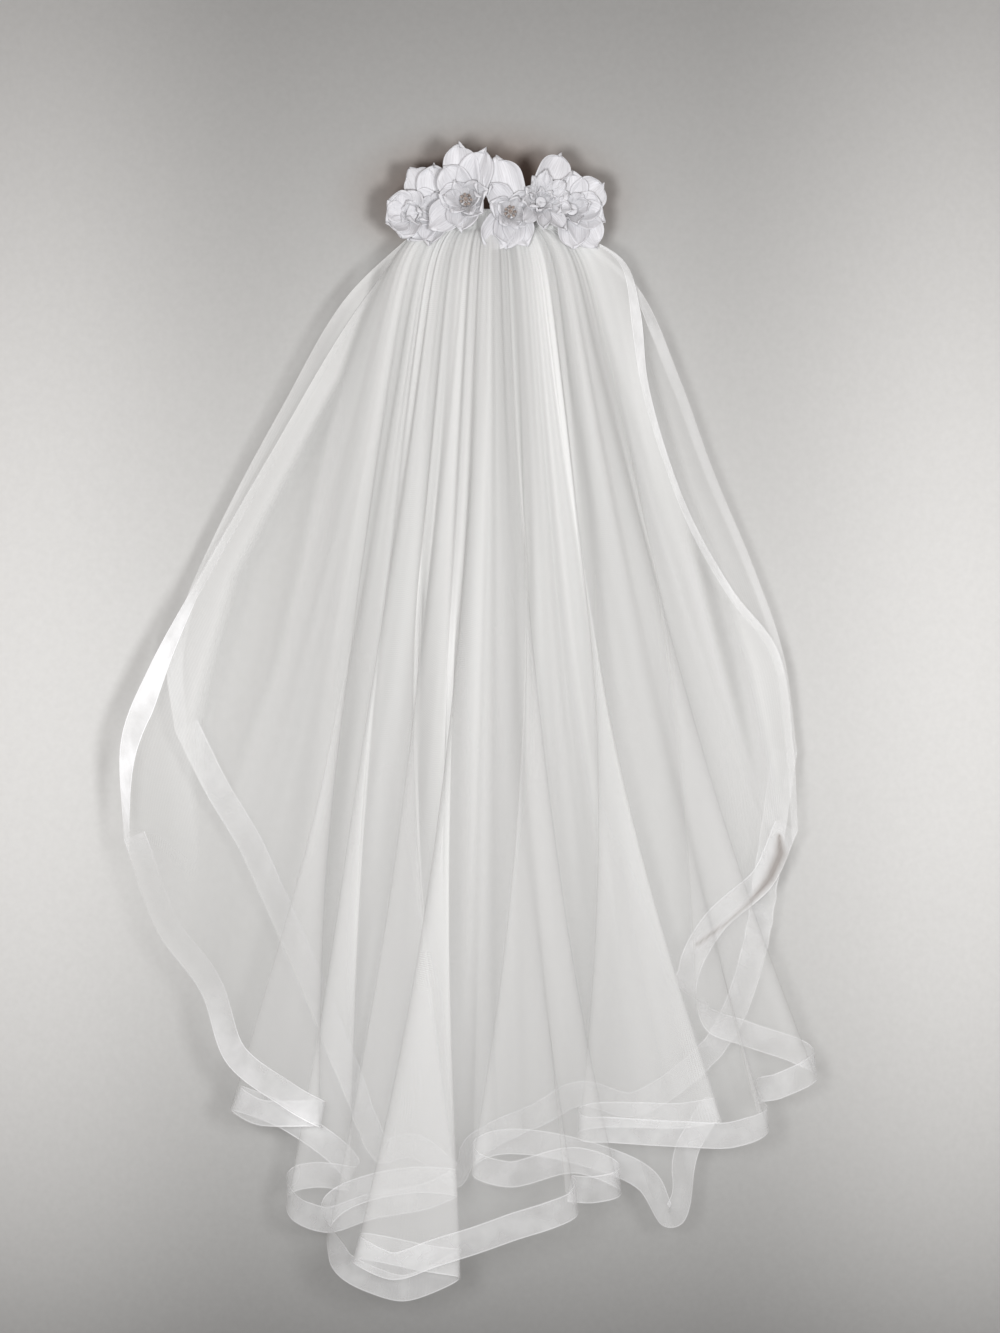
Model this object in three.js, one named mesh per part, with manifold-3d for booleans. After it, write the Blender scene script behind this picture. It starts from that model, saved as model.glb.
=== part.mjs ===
// A two-tier bridal veil on a flowered hair comb, hanging from the comb.
// Millimetres, +Z up, front towards -Y. The origin is the middle of the comb's bar.
import * as THREE from "three";
import Module from "manifold-3d";
import { mergeVertices } from "three/addons/utils/BufferGeometryUtils.js";

const wasm = await Module();
wasm.setup();

// Driving dimensions
const CLOTH_WALL = 1.0;
const SEAM_GAP = 0.3;
const RIBBON_WIDTH = 16;
const HEADING_TOP = 3;
const HEADING_FOOT = -9;
const COMB_HALF = 48;
const COMB_THICK = 2.5;
const COMB_BAR = 6;
const COMB_TOOTH = 38;
const COMB_TEETH = 20;
const TOOTH_SHARE = 0.46;

// The gathers. The cloth flares under the flowers, then falls in a fan with its folds opening late.
const FLARE = 0.38;
const FLARE_DROP = 12;
const FAN = 4.2;
const PLEAT_PITCH = 8;
const PLEAT_DEPTH = 1.6;
const PLEAT_FULL = 0.25;
const FRONT_POWER = 0.45;
const BACK_POWER = 1.5;
const FOLD_POWER = 2.2;
const SIDE_REACH = 7;
const HOLD_LIMIT = 0.5;
const RIBBON_SPREAD = 70;
const RIBBON_START = 0.05;
const RIBBON_ROW = 2;
const EASE = 1.8;
const BAND_SHARE = 0.6;
const EDGE_ERROR = 1.3;
const MITRE_LIMIT = 2.5;
const EDGE_CUTS = 12;

// Where each layer is sewn, from the comb forwards
const SHORT_SEAM_Y = -(COMB_THICK / 2 + SEAM_GAP + CLOTH_WALL / 2);
const LONG_SEAM_Y = SHORT_SEAM_Y - CLOTH_WALL - SEAM_GAP;
const FLOWER_BACK_Y = LONG_SEAM_Y - CLOTH_WALL / 2 - SEAM_GAP;

// The long front tier's side edges, from the comb down to the hem's corners
const LONG_LEFT = [
  // x, y, z
  [-95, -6, -74],
  [-140, -8, -151],
  [-184, -10, -228],
  [-218, -13, -290],
  [-235, -16, -335],
];
const LONG_RIGHT = [
  // x, y, z
  [84, -5, -31],
  [94, -5, -62],
  [99, -4, -107],
  [111, -3, -152],
  [128, -2, -196],
  [154, 0, -241],
  [183, 3, -279],
  [193, 4, -340],
];

// The long tier's hem from the left corner to the right one, out and back through each fold.
const LONG_HEM = [
  // x, y, z
  [-233, -16, -399],
  [-212, -22, -455],
  [-182, -30, -494],
  [-165, -40, -535],
  [-128, -50, -561],
  [-108, -49, -573],
  [-109, -40, -575],
  [-147, -36, -575],
  [-166, -30, -567],
  [-164, -16, -570],
  [-135, -9, -583],
  [-110, -8, -600],
  [-91, -9, -619],
  [-90, -17, -621],
  [-113, -18, -619],
  [-127, -19, -623],
  [-126, -27, -635],
  [-104, -31, -643],
  [-73, -36, -633],
  [-39, -38, -626],
  [-21, -39, -618],
  [-22, -48, -616],
  [-50, -50, -614],
  [-94, -51, -628],
  [-98, -60, -655],
  [-57, -66, -674],
  [-20, -66, -662],
  [-19, -75, -658],
  [-45, -77, -653],
  [-80, -78, -646],
  [-82, -88, -645],
  [-59, -93, -653],
  [-31, -95, -644],
  [12, -94, -630],
  [49, -90, -617],
  [49, -80, -613],
  [43, -74, -612],
  [60, -66, -615],
  [76, -61, -613],
  [76, -52, -611],
  [50, -49, -602],
  [11, -48, -611],
  [-13, -47, -604],
  [-13, -38, -600],
  [2, -30, -595],
  [30, -21, -598],
  [60, -17, -606],
  [93, -14, -621],
  [108, -21, -642],
  [119, -21, -640],
  [131, -12, -595],
  [144, -9, -577],
  [145, -19, -577],
  [120, -24, -580],
  [67, -27, -579],
  [56, -29, -581],
  [56, -38, -584],
  [73, -39, -585],
  [115, -45, -586],
  [150, -46, -586],
  [170, -40, -578],
  [164, -30, -564],
  [180, -24, -561],
  [201, -22, -552],
  [203, -13, -549],
  [188, -8, -541],
  [160, -6, -532],
  [136, -4, -522],
  [129, 2, -500],
  [146, 5, -462],
  [180, 5, -430],
  [196, 5, -395],
];

// The short rear tier's side edges and hem
const SHORT_LEFT = [
  // x, y, z
  [-95, 0, -54],
  [-136, 4, -123],
  [-172, 8, -189],
  [-199, 11, -247],
  [-211, 12, -285],
];
const SHORT_RIGHT = [
  // x, y, z
  [93, 1, -46],
  [120, 6, -103],
  [142, 10, -162],
  [169, 12, -226],
  [188, 13, -281],
];
const SHORT_HEM = [
  // x, y, z
  [-206, 12, -331],
  [-186, 14, -372],
  [-165, 16, -408],
  [-149, 18, -444],
  [-125, 20, -499],
  [-100, 23, -562],
  [-75, 17, -612],
  [-53, 25, -611],
  [-23, 16, -628],
  [-8, 27, -611],
  [11, 16, -597],
  [36, 29, -589],
  [57, 16, -575],
  [91, 29, -585],
  [126, 18, -564],
  [158, 25, -532],
  [177, 18, -478],
  [186, 14, -420],
  [197, 13, -345],
];

const TIERS = {
  long: {
    hem: LONG_HEM,
    sides: [LONG_LEFT, LONG_RIGHT],
    seamY: LONG_SEAM_Y,
    ribbonSide: 1,
    hold: 0,
    rows: [0.06, 0.13, 0.22, 0.33, 0.47, 0.63, 0.8, 0.92],
  },
  short: {
    hem: SHORT_HEM,
    sides: [SHORT_LEFT, SHORT_RIGHT],
    seamY: SHORT_SEAM_Y,
    ribbonSide: -1,
    hold: 46,
    rows: [0.1, 0.25, 0.45, 0.65, 0.85],
  },
};

// The flowers, in the order in which they are sewn on. lean and turn tip a flower, in degrees.
const FLOWERS = {
  // x, forward, z, lean down, turn sideways
  flower_centre_left: { x: -17, forward: 9, z: 6, lean: 4, turn: -8 },
  flower_centre_right: { x: 11, forward: 6, z: -1, lean: 10, turn: 6 },
  flower_narrow_petals: { x: 30, forward: 8, z: 5, lean: 0, turn: 12 },
  flower_left: { x: -34, forward: 3, z: 1, lean: 0, turn: -16 },
  flower_right: { x: 50, forward: 5, z: 1, lean: 0, turn: 8 },
  bud_left: { x: -51, forward: 5, z: -2, lean: 0, turn: -12 },
};

// Petals. angle is measured from +X in the flower's plane, lift is how far the petal stands up from it.
const PETALS = {
  // angle, length, width, lift
  flower_centre_left: [
    [95, 36, 24, 22],
    [64, 35, 23, 26],
    [122, 26, 22, 34],
    [170, 20, 18, 48],
    [222, 31, 22, 30],
    [268, 24, 22, 38],
    [320, 20, 18, 48],
    [15, 20, 17, 46],
  ],
  flower_centre_right: [
    [106, 36, 27, 16],
    [128, 24, 17, 30],
    [160, 18, 16, 46],
    [232, 30, 22, 26],
    [262, 25, 21, 32],
    [294, 25, 20, 32],
    [40, 20, 16, 38],
    [345, 18, 16, 46],
  ],
  flower_narrow_petals: [
    [68, 33, 22, 16],
    [88, 22, 11, 46],
    [40, 21, 11, 42],
    [14, 20, 11, 42],
    [340, 22, 11, 38],
    [305, 27, 12, 34],
    [268, 24, 11, 42],
    [230, 24, 11, 40],
    [190, 18, 10, 48],
    [150, 17, 10, 50],
    [118, 19, 11, 46],
  ],
  flower_left: [
    [124, 33, 23, 14],
    [92, 29, 24, 24],
    [150, 20, 18, 34],
    [228, 28, 22, 24],
    [262, 26, 20, 30],
    [195, 22, 18, 36],
  ],
  flower_right: [
    [40, 26, 24, 20],
    [92, 24, 20, 26],
    [5, 20, 20, 32],
    [300, 30, 23, 20],
    [268, 28, 21, 24],
    [335, 23, 20, 28],
  ],
  bud_left: [
    [100, 16, 21, 34],
    [150, 18, 22, 30],
    [200, 18, 22, 30],
    [250, 18, 21, 32],
  ],
};
const PETAL_WALL = 1.0;
const PETAL_CUP = 0.35;
const PETAL_CURL = 0.09;
const PETAL_ROOT = 5.2;
const PETAL_OUTLINE = [
  // share of the length, share of the width
  [0, 0.35],
  [0.58, 1],
  [1, 0.52],
];
const BASE_RADIUS = 6.5;
const BASE_SIDES = 12;
const BASE_FRONT = 2;
const GEM_RADIUS = 4.4;
const GEM_HEIGHT = 4;
const GEM_SIDES = 10;

const lerp = (a, b, t) => a + (b - a) * t;
const clamp01 = (t) => Math.min(1, Math.max(0, t));
const smooth = (t) => t * t * (3 - 2 * t);

// The points of a curve that a chord would miss by more than EDGE_ERROR, between two of its points.
function keepBends(points, first, last) {
  const chord = new THREE.Line3(points[first].end, points[last].end);
  const nearest = new THREE.Vector3();
  let worst = EDGE_ERROR;
  let bend = 0;
  for (let i = first + 1; i < last; i += 1) {
    chord.closestPointToPoint(points[i].end, true, nearest);
    const miss = nearest.distanceTo(points[i].end);
    if (miss > worst) {
      worst = miss;
      bend = i;
    }
  }
  if (!bend && Math.abs(points[last].at - points[first].at) > PLEAT_PITCH / 4) {
    bend = Math.round((first + last) / 2);
  }
  if (!bend || last - first < 2) {
    return [last];
  }
  return [...keepBends(points, first, bend), ...keepBends(points, bend, last)];
}

// The hem on a smooth curve through the rows of its table, cut into equal lengths.
// The cloth is gathered evenly, so `at`, the place on the comb above each point, goes by the hem's length.
function hemThreads({ hem }) {
  const curve = new THREE.CatmullRomCurve3(hem.map((row) => new THREE.Vector3(...row)), false, "centripetal");
  const cuts = (hem.length - 1) * EDGE_CUTS;
  curve.arcLengthDivisions = 2 * cuts;
  return curve.getSpacedPoints(cuts).map((end, i) => ({ at: COMB_HALF * ((2 * i) / cuts - 1), end }));
}

// A thread whose end is the hem's mean place about it, over more of the hem the higher the level v is.
function easedThread(threads, { at, end }, v) {
  const reach = EASE * (1 - v);
  if (!reach) {
    return { at, end };
  }
  const mean = new THREE.Vector3();
  let whole = 0;
  for (const thread of threads) {
    const weight = Math.exp(-(((thread.at - at) / reach) ** 2) / 2);
    mean.addScaledVector(thread.end, weight);
    whole += weight;
  }
  return { at, end: mean.divideScalar(whole) };
}

// A thread's fall from place `at` on the comb to `end`, with v from 0 at the heading to 1 at the hem.
function freeFall({ at, end }, v, tier) {
  const drop = HEADING_FOOT - end.z;
  const flare = 1 + FLARE * (1 - Math.exp((-v * drop) / FLARE_DROP));
  const late = 1 + (FOLD_POWER - 1) * clamp01((COMB_HALF - Math.abs(at)) / SIDE_REACH);
  const fan = FAN * at;
  const x = at * flare * (1 - v) + fan * v + (end.x - fan) * v ** late;
  const held = Math.min(HOLD_LIMIT, tier.hold / drop);
  const power = end.y < tier.seamY ? FRONT_POWER : BACK_POWER;
  const forward = held ? smooth(clamp01((v - held) / (1 - held))) : v ** power;
  const grown = Math.min(1, v / PLEAT_FULL) * (1 - v);
  const pleat = PLEAT_DEPTH * grown * Math.sin((Math.PI * at) / PLEAT_PITCH) ** 2;
  return new THREE.Vector3(x, lerp(tier.seamY, end.y, forward) - pleat, lerp(HEADING_FOOT, end.z, v));
}

// One side edge of a tier at each v, on a smooth curve from the comb to the hem's corner.
function sideEdge(tier, side, levels) {
  const corner = side ? tier.hem[tier.hem.length - 1] : tier.hem[0];
  const start = [side ? COMB_HALF : -COMB_HALF, tier.seamY, HEADING_FOOT];
  const points = [start, ...tier.sides[side], corner].map((row) => new THREE.Vector3(...row));
  const curve = new THREE.CatmullRomCurve3(points, false, "centripetal");
  const line = curve.getPoints(EDGE_CUTS * points.length);
  return levels.map((v) => {
    const z = lerp(HEADING_FOOT, corner[2], v);
    const next = Math.max(1, line.findIndex((point) => point.z <= z + 1e-9));
    const part = (line[next - 1].z - z) / (line[next - 1].z - line[next].z);
    return line[next - 1].clone().lerp(line[next], part);
  });
}

// Rows of points from the heading to the hem.
// The outermost two columns on each side and the last two rows are the ribbon's edges.
function tierGrid(tier) {
  const threads = hemThreads(tier);
  const path = [threads[0], ...keepBends(threads, 0, threads.length - 1).map((i) => threads[i])];
  const levels = [0, ...tier.rows, 1];
  const sides = [0, 1].map((side) => sideEdge(tier, side, levels));
  const fall = levels.map((v, i) => {
    const row = path.map((thread) => freeFall(easedThread(threads, thread, v), v, tier));
    const pulls = sides.map((edge, side) => edge[i].clone().sub(row[side * (row.length - 1)]));
    row.forEach((point, j) => pulls.forEach((pull, side) => {
      const near = clamp01(1 - Math.abs(path[j].at - COMB_HALF * (2 * side - 1)) / SIDE_REACH);
      point.addScaledVector(pull, near * near);
    }));
    return row;
  });
  const heading = path.map(({ at }) => new THREE.Vector3(at, tier.seamY, HEADING_TOP));
  const nearLeft = path.findIndex(({ at }) => at > SIDE_REACH - COMB_HALF);
  const nearRight = path.length - 1 - path.findLastIndex(({ at }) => at < COMB_HALF - SIDE_REACH);
  const banded = [heading, ...fall].map((row) => {
    const left = addSideBand(row, nearLeft);
    return addSideBand(left.reverse(), nearRight).reverse();
  });
  return addHemBand(banded);
}

// Adds a row one ribbon's width above the hem, up each thread.
function addHemBand(grid) {
  const hem = grid[grid.length - 1];
  const above = grid[grid.length - 2];
  const band = hem.map((point, j) => {
    const along = hem[Math.min(j + 1, hem.length - 1)].clone().sub(hem[Math.max(j - 1, 0)]).normalize();
    const up = above[j].clone().sub(point);
    const square = up.clone().addScaledVector(along, -up.dot(along)).length();
    return point.clone().addScaledVector(up, Math.min(RIBBON_WIDTH / square, BAND_SHARE));
  });
  return [...grid.slice(0, -1), band, hem];
}

// Adds the ribbon's inner line beside a row's first point, and draws the next `near` points in past it.
function addSideBand(row, near) {
  const lengths = [0];
  for (let j = 1; j <= near; j += 1) {
    lengths.push(lengths[j - 1] + row[j].distanceTo(row[j - 1]));
  }
  const whole = lengths[near];
  const spread = Math.min(1, RIBBON_START + Math.max(0, HEADING_FOOT - row[0].z) / RIBBON_SPREAD);
  const wide = Math.min(RIBBON_WIDTH * spread, whole / 2);
  const drawn = lengths.slice(0, near).map((length) => {
    const reach = wide + (length * (whole - wide)) / whole;
    let next = 1;
    while (next < near && lengths[next] < reach) {
      next += 1;
    }
    const part = (reach - lengths[next - 1]) / (lengths[next] - lengths[next - 1]);
    return row[next - 1].clone().lerp(row[next], part);
  });
  return [row[0], ...drawn, ...row.slice(near)];
}

// At each point of a grid, the normal towards the front, the side that the row bends to and a mitre's reach.
function gridNormals(grid) {
  return grid.map((row, i) => row.map((point, j) => {
    const above = grid[Math.max(i - 1, 0)][j];
    const down = grid[Math.min(i + 1, grid.length - 1)][j].clone().sub(above).normalize();
    const before = point.clone().sub(row[Math.max(j - 1, 0)]);
    const after = row[Math.min(j + 1, row.length - 1)].clone().sub(point);
    const first = down.clone().cross(before.lengthSq() ? before : after).normalize();
    const second = down.clone().cross(after.lengthSq() ? after : before).normalize();
    const normal = first.clone().add(second).normalize();
    const bend = Math.sign(second.clone().sub(first).dot(before));
    return { normal, inside: -bend, mitre: 1 / Math.max(normal.dot(first), 1 / MITRE_LIMIT) };
  }));
}

// A closed wall over the kept cells of a grid, from `near` to `far` along the normals.
function wall(grid, normals, near, far, keep = () => true) {
  const positions = [];
  const corner = (i, j, offset) => {
    const { normal, inside, mitre } = normals[i][j];
    return grid[i][j].clone().addScaledVector(normal, offset * (offset * inside > 0 ? mitre : 1)).toArray();
  };
  const quad = (a, b, c, d) => positions.push(...a, ...b, ...c, ...a, ...c, ...d);
  const inside = (i, j) => i >= 0 && j >= 0 && i < grid.length - 1 && j < grid[0].length - 1 && keep(i, j);
  const sides = [
    { to: [-1, 0], from: [0, 1], end: [0, 0] },
    { to: [0, -1], from: [0, 0], end: [1, 0] },
    { to: [1, 0], from: [1, 0], end: [1, 1] },
    { to: [0, 1], from: [1, 1], end: [0, 1] },
  ];
  for (let i = 0; i < grid.length - 1; i += 1) {
    for (let j = 0; j < grid[0].length - 1; j += 1) {
      if (!inside(i, j)) {
        continue;
      }
      quad(corner(i, j, far), corner(i + 1, j, far), corner(i + 1, j + 1, far), corner(i, j + 1, far));
      quad(corner(i, j, near), corner(i, j + 1, near), corner(i + 1, j + 1, near), corner(i + 1, j, near));
      for (const { to, from, end } of sides) {
        if (!inside(i + to[0], j + to[1])) {
          const [a, b] = [from, end].map(([di, dj]) => [i + di, j + dj]);
          quad(corner(...a, near), corner(...b, near), corner(...b, far), corner(...a, far));
        }
      }
    }
  }
  const geometry = new THREE.BufferGeometry();
  geometry.setAttribute("position", new THREE.Float32BufferAttribute(positions, 3));
  return mergeVertices(geometry);
}

function tierPieces(tier) {
  const grid = tierGrid(tier);
  const normals = gridNormals(grid);
  const half = CLOTH_WALL / 2;
  const lastRow = grid.length - 2;
  const lastColumn = grid[0].length - 2;
  const onEdge = (i, j) => i === lastRow || (i >= RIBBON_ROW && (j === 0 || j === lastColumn));
  const faces = [half + SEAM_GAP, half + SEAM_GAP + CLOTH_WALL].map((offset) => offset * tier.ribbonSide);
  return {
    cloth: wall(grid, normals, -half, half),
    ribbon: wall(grid, normals, Math.min(...faces), Math.max(...faces), onEdge),
  };
}

// The comb: a bar with straight tapered teeth, cut from one sheet of plastic.
function combGeometry() {
  const shape = new THREE.Shape();
  const pitch = (2 * COMB_HALF) / COMB_TEETH;
  const tooth = pitch * TOOTH_SHARE;
  const barFoot = -COMB_BAR / 2;
  shape.moveTo(-COMB_HALF, COMB_BAR / 2);
  for (let i = 0; i < COMB_TEETH; i += 1) {
    const middle = -COMB_HALF + pitch * (i + 0.5);
    shape.lineTo(middle - tooth / 2, barFoot);
    shape.lineTo(middle - tooth / 4, barFoot - COMB_TOOTH);
    shape.lineTo(middle + tooth / 4, barFoot - COMB_TOOTH);
    shape.lineTo(middle + tooth / 2, barFoot);
  }
  shape.lineTo(COMB_HALF, COMB_BAR / 2);
  const geometry = new THREE.ExtrudeGeometry(shape, { depth: COMB_THICK, bevelEnabled: false });
  geometry.rotateX(Math.PI / 2);
  geometry.translate(0, COMB_THICK / 2, 0);
  return geometry;
}

// A cupped petal in its flower's plane: x outwards, y sideways, z up towards the viewer.
function petalGeometry([angle, length, width, lift], spare) {
  const across = [-1, 0, 1];
  const rise = THREE.MathUtils.degToRad(lift);
  const grid = PETAL_OUTLINE.map(([s, share]) => across.map((t) => {
    const half = spare + (share * width) / 2;
    const out = (length - PETAL_ROOT) * s + spare * (2 * s - 1);
    const cup = PETAL_CUP * half * t * t - PETAL_CURL * length * s * s;
    const x = PETAL_ROOT + out * Math.cos(rise) - cup * Math.sin(rise);
    return new THREE.Vector3(x, half * t, out * Math.sin(rise) + cup * Math.cos(rise));
  }));
  const normals = gridNormals(grid);
  const half = PETAL_WALL / 2 + spare;
  const geometry = wall(grid, normals, -half, half);
  geometry.rotateZ(THREE.MathUtils.degToRad(angle));
  return geometry;
}

// Makes a closed geometry into a solid that can be joined and cut, and back.
function toSolid(geometry) {
  const bare = geometry.clone();
  bare.deleteAttribute("normal");
  bare.deleteAttribute("uv");
  const merged = mergeVertices(bare, 1e-4);
  const vertProperties = new Float32Array(merged.attributes.position.array);
  const triVerts = new Uint32Array(merged.index.array);
  return new wasm.Manifold(new wasm.Mesh({ numProp: 3, vertProperties, triVerts }));
}

function toGeometry(solid) {
  const mesh = solid.getMesh();
  const geometry = new THREE.BufferGeometry();
  geometry.setAttribute("position", new THREE.Float32BufferAttribute(mesh.vertProperties, 3));
  geometry.setIndex(Array.from(mesh.triVerts));
  return geometry;
}

// A flower's petals on its base, turned to face forwards. `spare` thickens it all, to cut a neighbour clear.
function flowerSolid(name, spare) {
  const { x, forward, z, lean, turn } = FLOWERS[name];
  const radius = BASE_RADIUS + spare;
  const base = new THREE.CylinderGeometry(radius, radius, forward + BASE_FRONT + 2 * spare, BASE_SIDES);
  base.rotateX(Math.PI / 2);
  base.translate(0, 0, (BASE_FRONT - forward) / 2);
  const place = new THREE.Matrix4().makeTranslation(x, FLOWER_BACK_Y - forward, z);
  place.multiply(new THREE.Matrix4().makeRotationX(Math.PI / 2));
  const tip = new THREE.Matrix4().makeRotationX(THREE.MathUtils.degToRad(lean));
  tip.multiply(new THREE.Matrix4().makeRotationY(THREE.MathUtils.degToRad(turn)));
  let solid = toSolid(base);
  for (const petal of PETALS[name]) {
    const geometry = petalGeometry(petal, spare);
    geometry.translate(0, 0, BASE_FRONT / 2);
    geometry.applyMatrix4(tip);
    solid = solid.add(toSolid(geometry));
  }
  const placed = toGeometry(solid);
  placed.applyMatrix4(place);
  return toSolid(placed);
}

// Each flower in turn is cut clear of those in front of it, and only its main body is kept.
function flowerSolids() {
  const names = Object.keys(FLOWERS);
  const cutters = names.map((name) => flowerSolid(name, SEAM_GAP));
  return names.map((name, i) => {
    let solid = flowerSolid(name, 0);
    for (const cutter of cutters.slice(0, i)) {
      solid = solid.subtract(cutter);
    }
    const bodies = solid.decompose();
    bodies.sort((a, b) => b.volume() - a.volume());
    return [name, toGeometry(bodies[0])];
  });
}

// A low dome of stones, seated on its flower's base.
function gemGeometry(name) {
  const { x, forward, z } = FLOWERS[name];
  const profile = [[0, 0], [1, 0], [0.8, 0.6], [0.4, 1], [0, 1]];
  const points = profile.map(([out, up]) => new THREE.Vector2(out * GEM_RADIUS, up * GEM_HEIGHT));
  const geometry = new THREE.LatheGeometry(points, GEM_SIDES);
  geometry.rotateX(Math.PI);
  geometry.translate(x, FLOWER_BACK_Y - forward - BASE_FRONT - SEAM_GAP, z);
  return geometry;
}

const COLOURS = {
  tulle: { color: 0xf4f3f0, roughness: 0.8, metalness: 0 },
  ribbon: { color: 0xf8f8f7, roughness: 0.45, metalness: 0 },
  petal: { color: 0xf6f4f6, roughness: 0.55, metalness: 0 },
  comb: { color: 0xe8ecee, roughness: 0.2, metalness: 0 },
  gem: { color: 0xb8aaa2, roughness: 0.15, metalness: 0.6 },
};

const veil = new THREE.Group();
function addPiece(name, geometry, look) {
  const mesh = new THREE.Mesh(geometry, new THREE.MeshStandardMaterial(COLOURS[look]));
  mesh.name = name;
  veil.add(mesh);
}

for (const [name, tier] of Object.entries(TIERS)) {
  const { cloth, ribbon } = tierPieces(tier);
  addPiece(`${name}_tier`, cloth, "tulle");
  addPiece(`${name}_tier_ribbon`, ribbon, "ribbon");
}
addPiece("hair_comb", combGeometry(), "comb");
for (const [name, geometry] of flowerSolids()) {
  addPiece(name, geometry, "petal");
}
for (const name of ["flower_centre_left", "flower_centre_right"]) {
  addPiece(name.replace("flower", "rhinestone"), gemGeometry(name), "gem");
}

export default veil;
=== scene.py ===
# %% [markdown]
# A bridal veil in two tiers, gathered on a flowered hair comb.
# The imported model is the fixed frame: it says where every piece sits and how large it is.
# Blender dresses it. Each tier becomes a thin sheer sheet, each flower a bunch of cupped petals.

# %% Load the frame
import math

import bpy
import numpy as np
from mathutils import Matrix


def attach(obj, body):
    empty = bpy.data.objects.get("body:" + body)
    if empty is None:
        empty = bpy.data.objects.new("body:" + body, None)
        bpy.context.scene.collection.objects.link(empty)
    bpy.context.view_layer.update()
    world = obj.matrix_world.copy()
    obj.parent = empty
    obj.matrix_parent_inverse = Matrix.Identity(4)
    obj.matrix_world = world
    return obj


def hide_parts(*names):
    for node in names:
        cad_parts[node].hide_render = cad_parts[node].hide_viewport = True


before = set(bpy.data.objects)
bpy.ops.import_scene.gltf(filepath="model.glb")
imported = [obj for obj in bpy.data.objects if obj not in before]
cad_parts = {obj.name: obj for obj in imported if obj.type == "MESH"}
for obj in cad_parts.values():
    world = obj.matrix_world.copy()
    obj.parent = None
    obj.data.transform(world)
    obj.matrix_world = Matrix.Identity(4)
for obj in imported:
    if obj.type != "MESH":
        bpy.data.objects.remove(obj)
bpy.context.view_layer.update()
MM = 0.001

# %% [markdown]
# The photograph looks straight at the wall that the veil hangs on.
# A pixel covers 0.641 mm at the comb, so the picture's height fixes the lens once the distance is chosen.

# %% Camera
PHOTO_SIZE = (1000, 1333)
COMB_PIXEL = (493, 215)
PIXEL_MM = 0.641
CAMERA_DISTANCE = 1.25
SENSOR_MM = 36

camera_data = bpy.data.cameras.new("camera")
camera_data.sensor_fit = "VERTICAL"
camera_data.sensor_height = SENSOR_MM
camera_data.lens = SENSOR_MM * CAMERA_DISTANCE / (PHOTO_SIZE[1] * PIXEL_MM * MM)
camera = bpy.data.objects.new("camera", camera_data)
camera.location = (
    (PHOTO_SIZE[0] / 2 - COMB_PIXEL[0]) * PIXEL_MM * MM,
    -CAMERA_DISTANCE,
    (COMB_PIXEL[1] - PHOTO_SIZE[1] / 2) * PIXEL_MM * MM,
)
camera.rotation_euler = (math.pi / 2, 0, 0)
bpy.context.collection.objects.link(camera)
bpy.context.scene.camera = camera
print("lens, mm:", round(camera_data.lens, 1))

# %% [markdown]
# Sheer cloth is seen through many layers, and each one uses up a transparent bounce.
# The Standard view adds no film curve, so pale greys keep their own values.

# %% Light passes through many layers
scene = bpy.context.scene
scene.cycles.max_bounces = 3
scene.cycles.diffuse_bounces = 1
scene.cycles.transparent_max_bounces = 28
scene.view_settings.view_transform = "Standard"
print("transparent bounces:", scene.cycles.transparent_max_bounces)


# %% [markdown]
# Every new piece starts as a grid of points worked out with numpy.
# One helper turns a grid into a mesh, with a UV map in metres or in shares, and smooth faces.

# %% From a grid to a mesh
def link_mesh(name, points, quads, uv=None, marks=None):
    """Makes an object from points in mm and quads that index them.

    uv and marks hold a value for each point.
    """
    mesh = bpy.data.meshes.new(name)
    mesh.vertices.add(len(points))
    mesh.vertices.foreach_set("co", (np.asarray(points) * MM).ravel())
    mesh.loops.add(quads.size)
    mesh.loops.foreach_set("vertex_index", quads.ravel())
    mesh.polygons.add(len(quads))
    mesh.polygons.foreach_set("loop_start", np.arange(0, quads.size, 4))
    mesh.polygons.foreach_set("use_smooth", np.ones(len(quads), bool))
    mesh.update(calc_edges=True)
    if uv is not None:
        layer = mesh.uv_layers.new(name="cloth")
        layer.data.foreach_set("uv", uv[quads.ravel()].ravel())
    for mark, values in (marks or {}).items():
        attribute = mesh.attributes.new(mark, "FLOAT", "POINT")
        attribute.data.foreach_set("value", values)
    mesh.validate()
    piece = bpy.data.objects.new(name, mesh)
    bpy.context.collection.objects.link(piece)
    return piece


def grid_quads(rows, columns, first=0):
    """Quads of a grid of points that is stored row by row, facing along rows times columns."""
    index = first + np.arange(rows * columns).reshape(rows, columns)
    corners = [index[:-1, :-1], index[1:, :-1], index[1:, 1:], index[:-1, 1:]]
    return np.stack(corners, -1).reshape(-1, 4)


def join_grids(grids):
    """The points and the quads of several grids, one after the other."""
    quads = []
    first = 0
    for grid in grids:
        quads.append(grid_quads(*grid.shape[:2], first))
        first += grid.shape[0] * grid.shape[1]
    return np.vstack([grid.reshape(-1, 3) for grid in grids]), np.vstack(quads)


def add_solidify(piece, thickness):
    """Gives a sheet a real thickness, half on each side, with its rim closed."""
    wall = piece.modifiers.new("thickness", "SOLIDIFY")
    wall.thickness = thickness
    wall.offset = 0


# %% [markdown]
# The tables below are the ones that the frame was cut from, in millimetres.
# Each tier has a left and a right side edge and a hem that runs out and back through its folds.

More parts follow.
